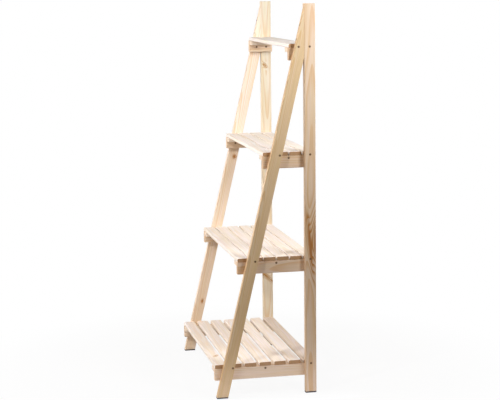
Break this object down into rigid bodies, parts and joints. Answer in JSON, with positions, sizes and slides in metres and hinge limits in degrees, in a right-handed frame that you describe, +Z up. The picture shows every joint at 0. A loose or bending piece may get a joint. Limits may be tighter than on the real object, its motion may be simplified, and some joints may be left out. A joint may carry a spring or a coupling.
{
  "type": "plant ladder stand",
  "caption": "Pine plant stand: side frames with slanted front legs carry slatted shelves that grow deeper towards the floor.",
  "frame": {"origin": "centre of the footprint, on the floor under the foot pads", "axes": "+Z up along the uprights; -Y is the open front the legs lean out to; +Y is the back plane of the uprights; +X is the right-hand side frame"},
  "size_m": [0.72, 0.37, 1.4],
  "materials": {
    "frame_pine": "planed, matt",
    "slat_pine": "planed, matt",
    "pad_rubber": "matt",
    "screw_steel": "dull zinc plate"
  },
  "bodies": {
    "root": {"left_upright": "frame_pine", "right_upright": "frame_pine", "left_front_leg": "frame_pine", "right_front_leg": "frame_pine", "left_upright_foot_pad": "pad_rubber", "right_upright_foot_pad": "pad_rubber", "left_leg_foot_pad": "pad_rubber", "right_leg_foot_pad": "pad_rubber", "top_shelf_left_bearer": "frame_pine", "top_shelf_right_bearer": "frame_pine", "upper_shelf_left_bearer": "frame_pine", "upper_shelf_right_bearer": "frame_pine", "lower_shelf_left_bearer": "frame_pine", "lower_shelf_right_bearer": "frame_pine", "bottom_shelf_left_bearer": "frame_pine", "bottom_shelf_right_bearer": "frame_pine", "top_shelf_left_batten": "frame_pine", "top_shelf_right_batten": "frame_pine", "upper_shelf_left_batten": "frame_pine", "upper_shelf_right_batten": "frame_pine", "lower_shelf_left_batten": "frame_pine", "lower_shelf_right_batten": "frame_pine", "bottom_shelf_left_batten": "frame_pine", "bottom_shelf_right_batten": "frame_pine", "top_shelf_slat_1": "slat_pine", "top_shelf_slat_2": "slat_pine", "upper_shelf_slat_1": "slat_pine", "upper_shelf_slat_2": "slat_pine", "upper_shelf_slat_3": "slat_pine", "upper_shelf_slat_4": "slat_pine", "lower_shelf_slat_1": "slat_pine", "lower_shelf_slat_2": "slat_pine", "lower_shelf_slat_3": "slat_pine", "lower_shelf_slat_4": "slat_pine", "lower_shelf_slat_5": "slat_pine", "lower_shelf_slat_6": "slat_pine", "bottom_shelf_slat_1": "slat_pine", "bottom_shelf_slat_2": "slat_pine", "bottom_shelf_slat_3": "slat_pine", "bottom_shelf_slat_4": "slat_pine", "bottom_shelf_slat_5": "slat_pine", "bottom_shelf_slat_6": "slat_pine", "bottom_shelf_slat_7": "slat_pine", "bearer_screws": "screw_steel", "side_screws": "screw_steel", "batten_screws": "screw_steel", "slat_screws": "screw_steel", "scarf_screws": "screw_steel"}
  },
  "joints": []
}
